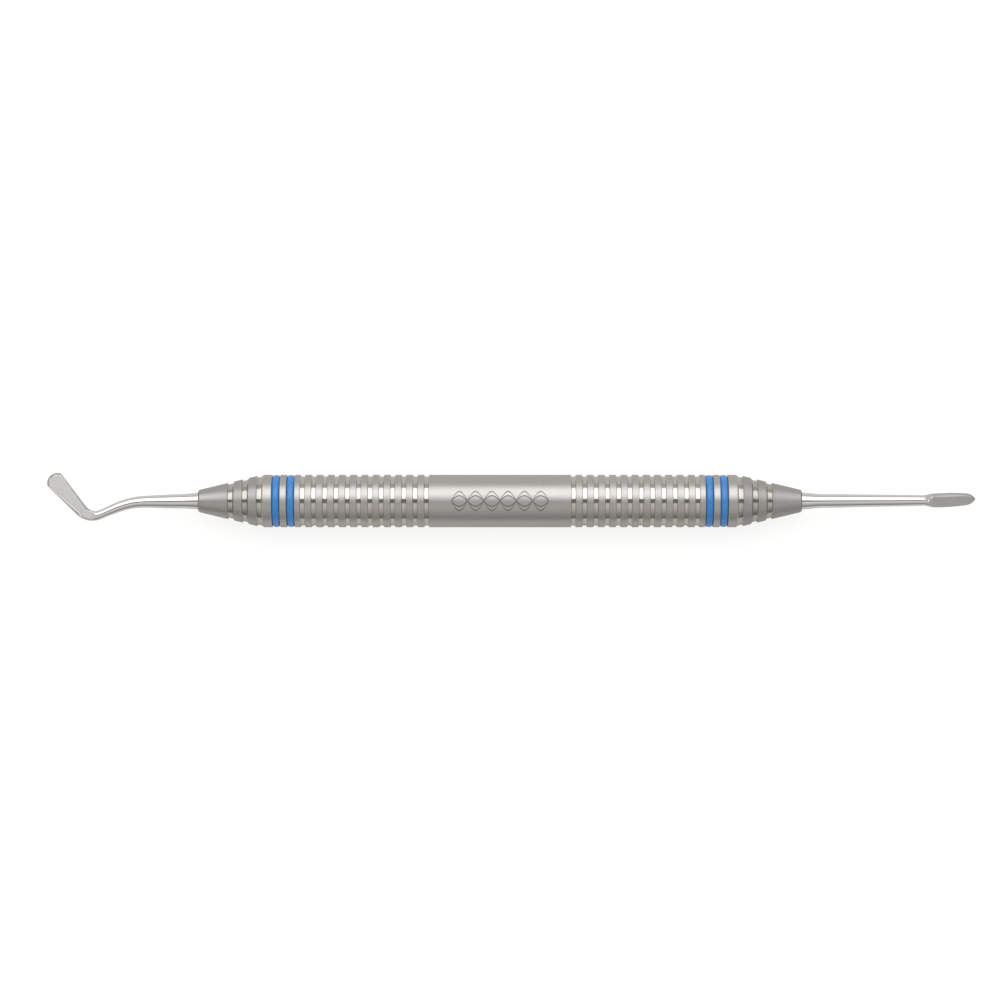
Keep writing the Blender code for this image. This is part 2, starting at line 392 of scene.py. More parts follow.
def tang_stations():
    """The tang with its two raised collars, as (distance, width, thickness, middle height)."""
    made = [(-TANG_LENGTH, TANG_RADIUS - TANG_CHAMFER), (-TANG_LENGTH + TANG_CHAMFER, TANG_RADIUS)]
    for start in COLLARS:
        end = start + COLLAR_LENGTH
        made += [(start, TANG_RADIUS), (start + COLLAR_SLOPE, COLLAR_RADIUS)]
        made += [(end - COLLAR_SLOPE, COLLAR_RADIUS), (end, TANG_RADIUS)]
    made.append((-SHANK_STEP, TANG_RADIUS))
    return [(distance, 2 * radius, 2 * radius, 0.0) for distance, radius in made]


def shank_stations(sections, outline):
    """Closely spaced stations of shank and blade. The outline gives the width, the table the thickness."""
    length = sections[-1][0]
    plain = length - BLADE_ZONE
    places = [plain * i / round(plain / STATION_STEP) for i in range(round(plain / STATION_STEP))]
    fine = BLADE_ZONE - TIP_ZONE
    places += [plain + fine * i / round(fine / BLADE_STEP) for i in range(round(fine / BLADE_STEP))]
    places += [length - TIP_ZONE * math.cos(math.pi / 2 * i / TIP_STEPS) for i in range(TIP_STEPS)]
    places.append(length - LAST_STATION)
    made = []
    for place in places:
        rise, depth = along_curve(sections, place, 2), along_curve(sections, place, 3)
        made.append((place, outline(place), rise + depth, (rise - depth) / 2))
    return made


def blank(name, stations):
    """A closed rod along X through (distance, width, thickness, middle height) stations in millimetres."""
    bpy.ops.object.select_all(action="DESELECT")
    x, width, thickness, height = stations[0]
    bpy.ops.mesh.primitive_circle_add(
        vertices=BLANK_SIDES,
        radius=width / 2 * MM,
        fill_type="NGON",
        location=(x * MM, 0, 0),
        rotation=(0, math.pi / 2, 0),
    )
    piece = bpy.context.object
    piece.name = piece.data.name = name
    bpy.ops.object.transform_apply(location=True, rotation=True, scale=True)
    bpy.ops.object.mode_set(mode="EDIT")
    for next_x, next_width, next_thickness, next_height in stations[1:]:
        step = ((next_x - x) * MM, 0, (next_height - height) * MM)
        bpy.ops.mesh.extrude_region_move(TRANSFORM_OT_translate={"value": step})
        bpy.ops.transform.resize(
            value=(1, next_width / width, next_thickness / thickness),
            center_override=(next_x * MM, 0, next_height * MM),
        )
        x, width, thickness, height = next_x, next_width, next_thickness, next_height
    close_edit()
    print(name, len(stations), "stations,", len(piece.data.vertices), "vertices")
    return piece


print("shank drawn every", STATION_STEP, "mm, blade every", BLADE_STEP, "mm")

# %% [markdown]
# ## Bending the blank
# In the workshop the shank is bent round pins. Turning the stations one by one while extruding would do
# it too, but then every station needs its own angle. So a curve of straight runs and arcs carries the
# blank, and a Curve modifier lays the blank along it. The curve lies flat at the height of the axis, so
# heights on the blank stay true.

# %% Routes and bending
ROUTE_STEP = 0.1


def walk(legs, lean, distance):
    """Point (outwards, left) and heading at a distance along legs of (length, turn in degrees)."""
    point, heading = Vector((0.0, 0.0)), math.radians(lean)
    if distance < 0:
        return Vector((distance, 0.0)), 0.0
    for length, turn in legs:
        step = min(distance, length)
        bend = math.radians(turn) * step / length
        chord = step if bend == 0 else 2 * step / bend * math.sin(bend / 2)
        point += chord * Vector((math.cos(heading + bend / 2), math.sin(heading + bend / 2)))
        heading += bend
        distance -= step
    return point, heading


def place_on_route(legs, lean, side, distance, aside=0.0, height=0.0):
    """World place of a point on a working end: distance along the route, offset to +Y and height."""
    point, heading = walk(legs, lean, distance)
    out = point.x - aside * math.sin(heading)
    left = point.y + aside * math.cos(heading)
    return Vector((side * (HANDLE_END + out * MM), left * MM, AXIS_Z + height * MM))


def bend_along(piece, legs, lean, side):
    """Lays the straight blank along its route, from the end of the tang to the tip."""
    total = TANG_LENGTH + sum(length for length, turn in legs)
    count = round(total / ROUTE_STEP)
    data = bpy.data.curves.new("route", "CURVE")
    data.dimensions = "3D"
    data.twist_mode = "Z_UP"
    spline = data.splines.new("POLY")
    spline.points.add(count)
    for i, point in enumerate(spline.points):
        place = place_on_route(legs, lean, side, total * i / count - TANG_LENGTH)
        point.co = (*place, 1)
    route = bpy.data.objects.new("route", data)
    bpy.context.scene.collection.objects.link(route)
    edit(piece)
    bpy.ops.transform.translate(value=(TANG_LENGTH * MM, 0, 0))
    bpy.ops.object.mode_set(mode="OBJECT")
    apply_modifier(piece, "CURVE", object=route, deform_axis="POS_X")
    bpy.data.objects.remove(route)
    bpy.data.curves.remove(data)
    edit(piece)
    close_edit()


print("routes carried by a point every", ROUTE_STEP, "mm")

# %% [markdown]
# ## Grinding the face
# The flat face of each blade is ground with a wheel, which leaves a true plane, a crisp edge and a small
# curved run-out where the wheel left the shank. A Boolean with a wheel would leave thin slivers along
# that edge, and they spoil the highlight. So the points that stand above the wheel are lowered onto it
# instead, with a soft step that rounds the edge by a few hundredths of a millimetre.

# %% Lower the points above a surface onto it
GROUND_EDGE = 0.03


def press(piece, limit, up=1):
    """Moves points that lie beyond a height onto it: down onto it, or with up=-1 up onto it. The limit
    gives the height at a point in millimetres, both measured from the handle's axis."""
    for vertex in piece.data.vertices:
        point = Vector((vertex.co.x / MM, vertex.co.y / MM, (vertex.co.z - AXIS_Z) / MM))
        beyond = up * (point.z - limit(point))
        if beyond > GROUND_EDGE:
            vertex.co.z -= up * beyond * MM
        elif beyond > -GROUND_EDGE:
            vertex.co.z -= up * (beyond + GROUND_EDGE) ** 2 / (4 * GROUND_EDGE) * MM
    piece.data.update()


class GroundFace:
    """The plane of a ground face. It starts at a distance and height, drops towards the tip and tilts to
    +Y's side, both in millimetres per millimetre. Towards the handle the wheel runs out of the shank along
    an arc."""

    def __init__(self, legs, lean, side, start, height, drop, tilt, run_out):
        length = sum(length for length, turn in legs)
        heading = walk(legs, lean, length)[1]
        self.corner = place_on_route(legs, lean, side, start) / MM
        self.tip = place_on_route(legs, lean, side, length) / MM
        self.side, self.height, self.drop, self.tilt, self.run_out = side, height, drop, tilt, run_out
        self.outwards = Vector((side * math.cos(heading), math.sin(heading), 0))
        self.aside = Vector((-side * math.sin(heading), math.cos(heading), 0))

    def limit(self, point):
        """Height of the wheel's surface at a point, in millimetres above the axis."""
        step = point - self.corner
        before = max(0.0, -self.side * step.x)
        flat = self.height - self.drop * step.dot(self.outwards) + self.tilt * step.dot(self.aside)
        return flat + before**2 / (2 * self.run_out)

    def depth_below(self, x, y, z):
        """How far a shaded point lies below the wheel's surface, as shader arithmetic in metres."""
        along_x = -self.drop * self.outwards.x + self.tilt * self.aside.x
        along_y = -self.drop * self.outwards.y + self.tilt * self.aside.y
        at_origin = self.height * MM + AXIS_Z - (along_x * self.corner.x + along_y * self.corner.y) * MM
        before = ((self.corner.x * MM - x) * self.side).math("MAXIMUM", 0.0)
        return x * along_x + y * along_y + at_origin + before * before * (0.5 / (self.run_out * MM)) - z

    def across(self, x, y):
        """How far a shaded point lies to +Y's side of the blade's middle line, as shader arithmetic."""
        return x * self.aside.x + y * self.aside.y - self.tip.dot(self.aside) * MM

    def ahead_of_tip(self, x, y):
        """How far a shaded point lies beyond the tip, as shader arithmetic. It is negative on the blade."""
        return x * self.outwards.x + y * self.outwards.y - self.tip.dot(self.outwards) * MM


print("grinding edge", GROUND_EDGE, "mm")

# %% [markdown]
# ## Spatula end
# The shank dips, turns sharply up and broadens into a paddle with straight, slowly widening sides and a
# rounded end with two soft corners. The end is one arc, and the corners come from blending the arc with
# the sides. The face is ground a little tilted, so that a strip of the polished forging stays along the
# paddle's outer side. Narrow bevels follow both sides, two on the outer side and one on the inner, and a
# last one runs round the end on both faces and makes the working edge. The Bevel modifier would give them
# all one width, so each is pressed on as a surface of its own.

# %% Spatula outline and sections
DIP_RADIUS, DIP_TURN = 14.85, -22.2
ELBOW_RADIUS, ELBOW_TURN = 3.1, 71.45
SPATULA_LEAN = -0.75
SPATULA_LEGS = (
    (9.45, 0.0),
    (DIP_RADIUS * math.radians(-DIP_TURN), DIP_TURN),
    (2.95, 0.0),
    (ELBOW_RADIUS * math.radians(ELBOW_TURN), ELBOW_TURN),
    (8.37, 0.0),
)
SPATULA_LENGTH = sum(length for length, turn in SPATULA_LEGS)
# Distance, width, rise above the centreline before grinding, depth below it.
SPATULA_SECTIONS = (
    (0.0, 3.10, 1.55, 1.55),
    (1.3, 2.82, 1.41, 1.41),
    (2.4, 2.66, 1.33, 1.33),
    (5.0, 2.53, 1.265, 1.265),
    (9.0, 2.20, 1.10, 1.10),
    (12.8, 1.97, 0.985, 0.985),
    (15.0, 1.85, 0.925, 0.925),
    (17.4, 1.66, 0.83, 0.83),
    (18.4, 1.68, 0.80, 0.84),
    (19.1, 1.76, 0.73, 0.83),
    (20.2, 1.95, 0.62, 0.80),
    (21.3, 2.12, 0.62, 0.75),
    (23.2, 2.41, 0.70, 0.67),
    (25.8, 2.81, 0.66, 0.58),
    (28.2, 3.19, 0.60, 0.51),
    (29.3, 3.36, 0.55, 0.47),
    (SPATULA_LENGTH, 3.50, 0.45, 0.42),
)
END_ARC = 1.89
CORNER_BLEND = 0.10


def spatula_width(distance):
    """Width of the paddle: straight sides, cut off by one arc with blended corners."""
    side = along_curve(SPATULA_SECTIONS, distance, 1)
    from_centre = distance - (SPATULA_LENGTH - END_ARC)
    if from_centre <= 0:
        return side
    arc = 2 * math.sqrt(max(0.0, END_ARC**2 - from_centre**2))
    blend = max(0.0, 1 - abs(side - arc) / (4 * CORNER_BLEND))
    return min(side, arc) - blend**2 * CORNER_BLEND


spatula = blank("spatula_shank", tang_stations() + shank_stations(SPATULA_SECTIONS, spatula_width))
bend_along(spatula, SPATULA_LEGS, SPATULA_LEAN, -1)

# %% Grind the spatula
SIDE_BEVEL_START = 21.7
BEVEL_RUN_OUT = 2.0
EDGE_LEVEL = -0.20
EDGE_SLOPE = 1.15
BACK_EDGE_LEVEL = -0.26
BACK_EDGE_SLOPE = 0.5
CRISP_ANGLE = 24
# Side bevels: height at the side's edge, and rise per millimetre inwards.
INNER_BEVEL = (0.02, 1.0)
OUTER_BEVELS = ((0.16, 0.30), (0.02, 0.90))

spatula_flat = GroundFace(
    SPATULA_LEGS, SPATULA_LEAN, -1, start=20.0, height=0.41, drop=0.025, tilt=-0.03, run_out=1.2
)
arc_centre = place_on_route(SPATULA_LEGS, SPATULA_LEAN, -1, SPATULA_LENGTH - END_ARC) / MM


def inside_end(point):
    """How far a point lies inside the end's arc. Behind the arc's centre nothing is near the end."""
    step = Vector((point.x - arc_centre.x, point.y - arc_centre.y, 0))
    return END_ARC - (step.length if step.dot(spatula_flat.outwards) > 0 else 0)


def side_bevel(side, level, slope):
    """A bevel along one side of the paddle, +1 for the inner side of the bend, as a limit for press."""

    def limit(point):
        step = point - arc_centre
        along = SPATULA_LENGTH - END_ARC + step.dot(spatula_flat.outwards)
        if along < SIDE_BEVEL_START - BEVEL_RUN_OUT:
            return math.inf
        half = along_curve(SPATULA_SECTIONS, min(along, SPATULA_LENGTH), 1) / 2
        inside = half - side * step.dot(spatula_flat.aside)
        before = max(0.0, SIDE_BEVEL_START - along)
        return level + slope * max(0.0, inside) + before**2

    return limit


press(spatula, spatula_flat.limit)
press(spatula, side_bevel(1, *INNER_BEVEL))
for bevel in OUTER_BEVELS:
    press(spatula, side_bevel(-1, *bevel))
press(spatula, lambda point: EDGE_LEVEL + EDGE_SLOPE * max(0.0, inside_end(point)))
press(spatula, lambda point: BACK_EDGE_LEVEL - BACK_EDGE_SLOPE * max(0.0, inside_end(point)), up=-1)
smooth(spatula, CRISP_ANGLE)
print("spatula ground,", len(spatula.data.polygons), "faces")

# %% [markdown]
# ## Lance end
# The other shank runs straight and flattens into a narrow leaf. Its face is tilted further, and falls
# away to the lower side, so the upper side stays higher. A stone has taken that side down to a slim
# bevel. The same three steps make it: a blank, a bend, and two surfaces pressed on.

# %% Model the lance
LANCE_LEAN = 0.25
LANCE_LEGS = ((22.5, 0.0), (4.5, 2.4), (4.56, -1.2))
LANCE_LENGTH = sum(length for length, turn in LANCE_LEGS)
LANCE_SECTIONS = (
    (0.0, 3.10, 1.55, 1.55),
    (1.4, 2.88, 1.44, 1.44),
    (2.8, 2.58, 1.29, 1.29),
    (3.8, 2.46, 1.23, 1.23),
    (6.0, 2.46, 1.23, 1.23),
    (9.8, 2.32, 1.16, 1.16),
    (13.0, 2.22, 1.11, 1.11),
    (18.0, 2.08, 1.04, 1.04),
    (21.0, 1.97, 0.985, 0.985),
    (22.2, 1.92, 0.93, 0.95),
    (22.9, 2.11, 0.86, 0.93),
    (23.4, 2.38, 0.80, 0.88),
    (24.0, 2.51, 0.76, 0.83),
    (24.6, 2.57, 0.74, 0.80),
    (26.7, 2.56, 0.72, 0.72),
    (28.9, 2.35, 0.62, 0.58),
    (30.0, 2.12, 0.50, 0.46),
    (30.5, 1.85, 0.38, 0.39),
    (31.05, 1.20, 0.27, 0.28),
    (31.4, 0.58, 0.16, 0.17),
    (LANCE_LENGTH, 0.04, 0.06, 0.07),
)


def lance_width(distance):
    """Width of the shank and the leaf."""
    return along_curve(LANCE_SECTIONS, distance, 1)


lance = blank("lance_shank", tang_stations() + shank_stations(LANCE_SECTIONS, lance_width))
bend_along(lance, LANCE_LEGS, LANCE_LEAN, 1)
print("lance bent,", round(LANCE_LENGTH, 1), "mm long")

# %% Grind the lance
UPPER_BEVEL = 0.02
UPPER_SLOPE = 0.72
UPPER_START = 22.9

lance_flat = GroundFace(
    LANCE_LEGS, LANCE_LEAN, 1, start=24.0, height=0.33, drop=0.01, tilt=0.22, run_out=0.9
)


def upper_bevel(point):
    """Height of the bevel along the leaf's upper side."""
    along = min(point.x - HANDLE_END / MM, LANCE_LENGTH)
    if along < UPPER_START - BEVEL_RUN_OUT:
        return math.inf
    centre = place_on_route(LANCE_LEGS, LANCE_LEAN, 1, along) / MM
    inside = lance_width(along) / 2 - (point.y - centre.y)
    before = max(0.0, UPPER_START - along)
    return UPPER_BEVEL + UPPER_SLOPE * max(0.0, inside) + before**2


press(lance, lance_flat.limit)
press(lance, upper_bevel)
smooth(lance, CRISP_ANGLE)
print("lance ground,", len(lance.data.polygons), "faces")

# %% [markdown]
# ## Writing finishes as arithmetic
# Every finish below is worked out from a point's place on the instrument: how far it lies from the axis,
# how far along the handle. Wiring nodes one by one hides that, so a small class wraps a socket, and sums
# on it add the Math nodes. All other nodes come from one method, and colours go through Mix. The studio's
# light is wired the same way.

# %% Sockets that can be calculated with
class Sum:
    """A number or a colour that changes over a surface: one socket, and the wiring that it belongs to."""

    def __init__(self, wiring, socket):
        self.wiring, self.socket = wiring, socket

    def math(self, operation, *others):
        """One Math node on this number and the others."""
        values = dict(enumerate((self, *others)))
        return self.wiring.node("ShaderNodeMath", {"operation": operation}, values)

    def __add__(self, other):
        return self.math("ADD", other)

    def __mul__(self, other):
        return self.math("MULTIPLY", other)

    def __sub__(self, other):
        return self.math("SUBTRACT", other)

    def __rsub__(self, other):
        return self.math("MULTIPLY_ADD", -1.0, other)

    def __abs__(self):
        return self.math("ABSOLUTE")

    __radd__ = __add__
    __rmul__ = __mul__

    def least(self, other):
        """The smaller of two numbers."""
        return self.math("MINIMUM", other)

    def ramp(self, low, high):
        """0 below low, 1 above high and a smooth slope between. High may be below low."""
        if high < low:
            return 1 - self.ramp(high, low)
        values = {"Value": self, "From Min": low, "From Max": high}
        return self.wiring.node("ShaderNodeMapRange", {"interpolation_type": "SMOOTHSTEP"}, values)


class Wiring:
    """Adds nodes to one node tree."""

    def __init__(self, tree):
        self.tree = tree

    def node(self, kind, settings, values, output=0):
        """Adds a node: its settings first, then the values or links of its sockets."""
        made = self.tree.nodes.new(kind)
        for name, value in settings.items():
            setattr(made, name, value)
        for socket, value in values.items():
            if isinstance(value, Sum):
                self.tree.links.new(value.socket, made.inputs[socket])
            else:
                made.inputs[socket].default_value = value
        return Sum(self, made.outputs[output])

    def split(self, vector):
        """The three numbers of a vector."""
        first = self.node("ShaderNodeSeparateXYZ", {}, {0: vector})
        return [Sum(self, socket) for socket in first.socket.node.outputs]

    def noise(self, vector, scale, detail=2.0, stretch=(1, 1, 1)):
        """Cloudy noise. Scale is in cells per metre, and stretch multiplies it along each axis."""
        scaled = self.node("ShaderNodeVectorMath", {"operation": "MULTIPLY"}, {0: vector, 1: stretch})
        return self.node("ShaderNodeTexNoise", {}, {"Vector": scaled, "Scale": scale, "Detail": detail})

    def mix(self, factor, first, second):
        """Colour between two colours."""
        return self.node("ShaderNodeMix", {"data_type": "RGBA"}, {0: factor, 6: first, 7: second}, 2)


class Finish(Wiring):
    """A material on one Principled shader, with its constant sockets set."""

    def __init__(self, name, **constants):
        self.material = bpy.data.materials.new(name)
        self.material.use_nodes = True
        super().__init__(self.material.node_tree)
        self.shader = self.tree.nodes["Principled BSDF"]
        for socket, value in constants.items():
            self.shader.inputs[socket.replace("_", " ")].default_value = value

    def place(self):
        """The point's place in the piece's own frame, as a vector."""
        return self.node("ShaderNodeTexCoord", {}, {}, "Object")

    def set(self, socket, value):
        """Feeds a shader socket."""
        self.tree.links.new(value.socket, self.shader.inputs[socket])

    def relief(self, height, distance):
        """Feeds the shader's normal from a height of 0 to 1 that stands for a distance in metres."""
        values = {"Height": height, "Distance": distance, "Strength": 1.0}
        self.set("Normal", self.node("ShaderNodeBump", {}, values))


def rgb(red, green, blue):
    return (red, green, blue, 1.0)


print("finishes can be calculated")

# %% [markdown]
# ## Turned and blasted steel
# The handle is turned, and its grooves keep the bright finish of the tool; their warm tint is a painted
# reflection of the warm studio. The lands are then blasted with fine beads, which leaves them satin, with
# faint turning lines still showing through. The tapered noses have a darker colour, the right one more,
# and a thin dark band round each front: painted shade. Two materials on each piece would do, but one
# finish is simpler: it works out how far a point lies below the outer surface, and that depth tells land
# from groove.

# %% Handle finish
SATIN = rgb(0.475, 0.467, 0.457)
SATIN_DARK = rgb(0.43, 0.422, 0.412)
# Groove floors: brighter polished steel, and their warm tint is a painted reflection of the warm studio.
BRIGHT_WITH_WARM_REFLECTION = rgb(0.53, 0.515, 0.485)
# Dark band at the front of each nose: painted shade.
NOSE_PAINTED_SHADE = rgb(0.10, 0.105, 0.095)
ORNAMENT_HALF = 8.8 * MM
ORNAMENT_HEIGHTS = (1.75 * MM, 0.95 * MM)
ORNAMENT_WAVE = 2.93 * MM
ORNAMENT_LINES = (0.13 * MM, 0.078 * MM)
ORNAMENT_END = 0.05 * MM
ETCHED = rgb(0.18, 0.175, 0.17)
SATIN_ROUGHNESS, BRIGHT_ROUGHNESS = 0.34, 0.10
GROOVE_DEPTHS = (0.12 * MM, 0.22 * MM)
EDGE_DEPTHS = (0.005 * MM, 0.05 * MM)
TAPER_DEPTH = 0.08 * MM
NOSE_SHADE_BAND = (0.22 * MM, 0.10 * MM)
TURNING_LINES = 2600
BEADS = 9000
HANDLE_CLOUDS = 160
BLAST_RELIEF = 0.9e-6


def turned_steel(name, taper_painted_shade, added_roughness, ornament):
    """Satin steel with bright groove floors, a band of painted shade at the nose's front and perhaps the
    ornament. The painted shade given and the added roughness are those of the tapered part."""
    finish = Finish(name, Metallic=1.0)
    vector = finish.place()
    x, y, z = finish.split(vector)
    from_axis = z - AXIS_Z
    radius = (y * y + from_axis * from_axis).math("SQRT")
    outer = (NOSE_RADIUS + CONE_SLOPE * HANDLE_END - CONE_SLOPE * abs(x)).least(RADIUS)
    groove_mask = (outer - radius).ramp(*GROOVE_DEPTHS)
    edge_mask = (outer - radius).ramp(*EDGE_DEPTHS) * (1 - groove_mask)
    lines = finish.noise(vector, TURNING_LINES, detail=3, stretch=(1, 0.02, 0.02))
    beads = finish.noise(vector, BEADS, detail=1)
    clouds = finish.noise(vector, HANDLE_CLOUDS, detail=3)
    satin = finish.mix(0.65 * lines + 0.35 * clouds, SATIN_DARK, SATIN)
    colour = finish.mix(groove_mask, satin, BRIGHT_WITH_WARM_REFLECTION)
    taper = (RADIUS - outer).ramp(0, TAPER_DEPTH)
    # Darken the tapered part towards black by the given amount: painted shade.
    colour = finish.mix(taper * (1 - taper_painted_shade), colour, rgb(0, 0, 0))
    # A dark band painted round the front of each nose: painted shade, in place of the dark reflection
    # there.
    nose_painted_shade = abs(x).ramp(*(HANDLE_END - depth for depth in NOSE_SHADE_BAND))
    colour = finish.mix(nose_painted_shade, colour, NOSE_PAINTED_SHADE)
    roughness = SATIN_ROUGHNESS + added_roughness * taper + 0.10 * clouds + 0.05 * lines
    if ornament:
        around = abs(y.math("ARCTAN2", from_axis) * RADIUS)
        wave = abs((x * (math.pi / ORNAMENT_WAVE)).math("SINE"))
        inside = abs(x).ramp(ORNAMENT_HALF + ORNAMENT_END, ORNAMENT_HALF)
        high, low = (abs(around - wave * height).ramp(*ORNAMENT_LINES) for height in ORNAMENT_HEIGHTS)
        etched = high.math("MAXIMUM", low) * inside
        colour = finish.mix(etched, colour, ETCHED)
        roughness = roughness + 0.2 * etched
    finish.set("Base Color", colour)
    bright = BRIGHT_ROUGHNESS + 0.06 * lines
    roughness = roughness * (1 - groove_mask) + bright * groove_mask - 0.12 * edge_mask
    finish.set("Roughness", roughness)
    finish.relief(0.6 * lines + 0.4 * beads * (1 - groove_mask), BLAST_RELIEF)
    print(name, len(finish.tree.nodes), "nodes")
    return finish.material


# The tapered parts of the cones are darkened by painted shade, the right one more.
barrel_steel = turned_steel("satin_barrel", 1.0, 0.0, True)
left_cone_painted_shade_steel = turned_steel("satin_left_cone_painted_shade", 0.89, 0.0, False)
right_cone_painted_shade_steel = turned_steel("satin_right_cone_painted_shade", 0.87, 0.08, False)

# %% [markdown]
# ## Polished shank and ground face
# The shank is buffed: nearly a mirror, with the soft haze and faint marks that a polishing mop leaves.
# The blade's face comes off a fine stone, so it is matt, with hair-fine lines across the blade. The
# narrow sides of the blade have a darker colour, painted shade, and the bevel beside the face a colour of
# its own, painted light; the two faces differ by painted light too. All are one finish, because the face
# is exactly the part of the surface that lies on the ground plane, and that is easy to work out. Painting a
# mask by hand would be slower.

# %% Shank and face finish
POLISHED = rgb(0.71, 0.71, 0.71)
# Darker colour round the blade's sides and edge: painted shade that dims their reflection.
BLADE_SIDE_PAINTED_SHADE = rgb(0.43, 0.43, 0.43)
POLISHED_ROUGHNESS, GROUND_ROUGHNESS = 0.08, 0.38
ON_FACE = (0.012 * MM, 0.004 * MM)
EDGE_BLEND = 0.1 * MM
STRIP_FROM_MIDDLE = (0.2 * MM, 0.4 * MM)
STRIP_BLEND = 0.03 * MM
BLADE_BLEND = 0.5 * MM
DARK_SPOT_CORE = 0.3
HAZE = 900
MOP_MARKS = 6000
STONE_GRAIN = 5000
FACE_CLOUDS = 600
POLISH_RELIEF = 0.8e-6


def working_end_steel(name, flat, ground, ground_dark, blade_length, edge_length, strip, marks):
    """Polished steel with a matt ground face. Round the blade's sides and its edge the steel has a darker
    colour, painted shade. The strip is (side, depth, colour, added roughness) of the bevel beside the face;
    its colour is painted light. Marks are (place, radius, colour) darker spots."""
    finish = Finish(name, Metallic=1.0)
    vector = finish.place()
    x, y, z = finish.split(vector)
    haze = finish.noise(vector, HAZE, detail=3)
    mop = finish.noise(vector, MOP_MARKS, detail=1, stretch=(0.15, 1, 1))
    below = flat.depth_below(x, y, z)
    ahead = flat.ahead_of_tip(x, y)
    on_face = abs(below).ramp(*ON_FACE)
    at_edge = ahead.ramp(-edge_length - EDGE_BLEND, -edge_length + EDGE_BLEND)
    grain = finish.noise(vector, STONE_GRAIN, detail=2, stretch=(1, 0.25, 1))
    clouds = finish.noise(vector, FACE_CLOUDS, detail=3)
    face_colour = finish.mix(0.5 * grain + 0.5 * clouds, ground_dark, ground)
    for place, radius, colour in marks:
        ends = {0: vector, 1: place}
        apart = finish.node("ShaderNodeVectorMath", {"operation": "DISTANCE"}, ends, "Value")
        face_colour = finish.mix(apart.ramp(radius, DARK_SPOT_CORE * radius), face_colour, colour)
    strip_side, strip_depth, strip_painted_light, strip_roughness = strip
    beside = (flat.across(x, y) * strip_side).ramp(*STRIP_FROM_MIDDLE)
    beside = beside * below.ramp(strip_depth + STRIP_BLEND, strip_depth) * (1 - at_edge)
    on_blade = ahead.ramp(-blade_length - BLADE_BLEND, -blade_length)
    # Polished steel, then on the blade a darker colour, painted shade, and the strip's painted light.
    around_face = finish.mix(on_blade, POLISHED, finish.mix(beside, BLADE_SIDE_PAINTED_SHADE, strip_painted_light))
    finish.set("Base Color", finish.mix(on_face, around_face, face_colour))
    polish = POLISHED_ROUGHNESS + 0.06 * haze + strip_roughness * beside * on_blade
    finish.set("Roughness", polish * (1 - on_face) + (GROUND_ROUGHNESS + 0.10 * grain) * on_face)
    finish.relief(0.3 * mop * (1 - on_face) + grain * on_face, POLISH_RELIEF)
    print(name, len(finish.tree.nodes), "nodes")
    return finish.material


# A darker spot on the spatula's face near the run-out.
dark_spot = place_on_route(SPATULA_LEGS, SPATULA_LEAN, -1, 22.0, aside=0.25, height=0.35)
spatula_steel = working_end_steel(
    "spatula_steel",
    spatula_flat,
    # Face colour lighter than the lance's: painted light.
    rgb(0.63, 0.63, 0.63),
    rgb(0.58, 0.58, 0.58),
    9.4 * MM,
    1.18 * MM,
    # Strip colour paler than the polished steel: painted highlight.
    (-1, 0.11 * MM, rgb(0.84, 0.84, 0.84), 0.0),
    [(dark_spot, 0.16 * MM, rgb(0.30, 0.30, 0.29))],
)
lance_steel = working_end_steel(
    "lance_steel",
    lance_flat,
    # Face colour darker than the spatula's: painted shade.
    rgb(0.48, 0.48, 0.48),
    rgb(0.43, 0.43, 0.43),
    7.6 * MM,
    0.7 * MM,
    # Bevel colour darker than the polished steel: painted shade.
    (1, 0.60 * MM, rgb(0.41, 0.41, 0.41), 0.24),
    [],
)

# %% [markdown]
# ## Silicone
# Moulded silicone is smooth but never glossy. Light goes a little way in, the colour is even, and
# handling leaves a faint bloom and a few specks. Scattering inside the rubber could be rendered, but on
# rings this small it shows only as an even colour, so a plain colour under a soft gloss does it.

# %% Ring finish
DEEP_BLUE = rgb(0.003, 0.180, 0.525)
PALE_BLUE = rgb(0.008, 0.205, 0.590)
SPECK = rgb(0.45, 0.60, 0.80)
BLOOM = 700
SPECKS = 3800
BLOOM_RELIEF = 2e-6
RUBBER_ROUGHNESS = 0.34


def silicone(name):
    """Blue rubber with a faint bloom and a few pale specks."""
    finish = Finish(name, IOR=1.75, Sheen_Weight=0.06, Sheen_Roughness=0.5)
    vector = finish.place()
    bloom = finish.noise(vector, BLOOM, detail=4)
    specks = finish.noise(vector, SPECKS, detail=0).ramp(0.74, 0.80)
    colour = finish.mix(bloom, DEEP_BLUE, PALE_BLUE)
    finish.set("Base Color", finish.mix(0.35 * specks, colour, SPECK))
    finish.set("Roughness", RUBBER_ROUGHNESS + 0.10 * bloom)
    finish.relief(bloom, BLOOM_RELIEF)
    print(name, len(finish.tree.nodes), "nodes")
    return finish.material


blue_silicone = silicone("blue_silicone_rubber")

# %% [markdown]
# ## Hand the pieces over
# Each piece takes its finish, rides on its body and stands for the design's own solid. The rings ride on
# bodies of their own, because a fingertip can turn them in their grooves.

# %% Finish, ride and replace
def hand_over(piece, node, body, material):
    """Gives a piece its finish, its body and the design's solid that it stands for."""
    piece.data.materials.append(material)
    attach(piece, body)
    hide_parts(node)


hand_over(barrel, "handle_barrel", "handle", barrel_steel)
hand_over(cone_left, "end_cone_left", "handle", left_cone_painted_shade_steel)
hand_over(cone_right, "end_cone_right", "handle", right_cone_painted_shade_steel)
hand_over(spatula, "spatula_end", "handle", spatula_steel)
hand_over(lance, "lance_end", "handle", lance_steel)
for node, ring in rings.items():
    hand_over(ring, node, node, blue_silicone)
print("handed over", 5 + len(rings), "pieces")

# %% [markdown]
# ## Table
# The table is a lit sheet, so the shadow on it stays faint. A plain white sheet under strong light would
# be pale as well, but its shadow would be darker, and the steel's lower edge would wash out against it. A
# photographer lays grey cards round the object for that, just out of the picture. Here one grey card does
# it: only reflections see it.

